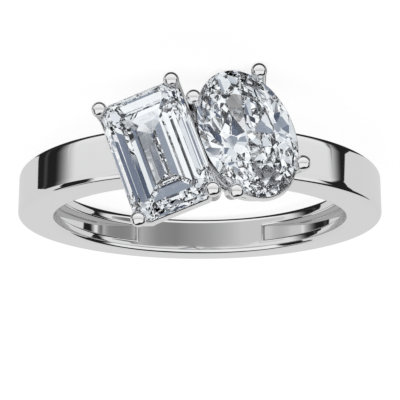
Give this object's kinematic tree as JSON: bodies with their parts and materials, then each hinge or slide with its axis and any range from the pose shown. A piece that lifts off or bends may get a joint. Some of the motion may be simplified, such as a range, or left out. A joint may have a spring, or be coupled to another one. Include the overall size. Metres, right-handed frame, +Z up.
{
  "type": "toi et moi ring",
  "caption": "Finger ring with a slim tapered band, recessed inside, carrying a step-cut stone and an oval stone side by side in open prong baskets.",
  "frame": {"origin": "centre of the finger hole", "axes": "+Z up from the table as the ring lies on its side, +Y from the stones across the hole to the base of the band, +X along the table to the side of the step-cut stone; the finger hole runs up and down, 7 degrees off +Z"},
  "size_m": [0.0216, 0.0239, 0.0084],
  "materials": {
    "white_metal": "mirror-polished white gold",
    "emerald_cut_stone": "clear polished step-cut facets",
    "oval_cut_stone": "clear polished brilliant-cut facets"
  },
  "bodies": {
    "root": {"shank_and_setting": "white_metal", "emerald_cut_stone": "emerald_cut_stone", "oval_cut_stone": "oval_cut_stone"}
  },
  "joints": []
}
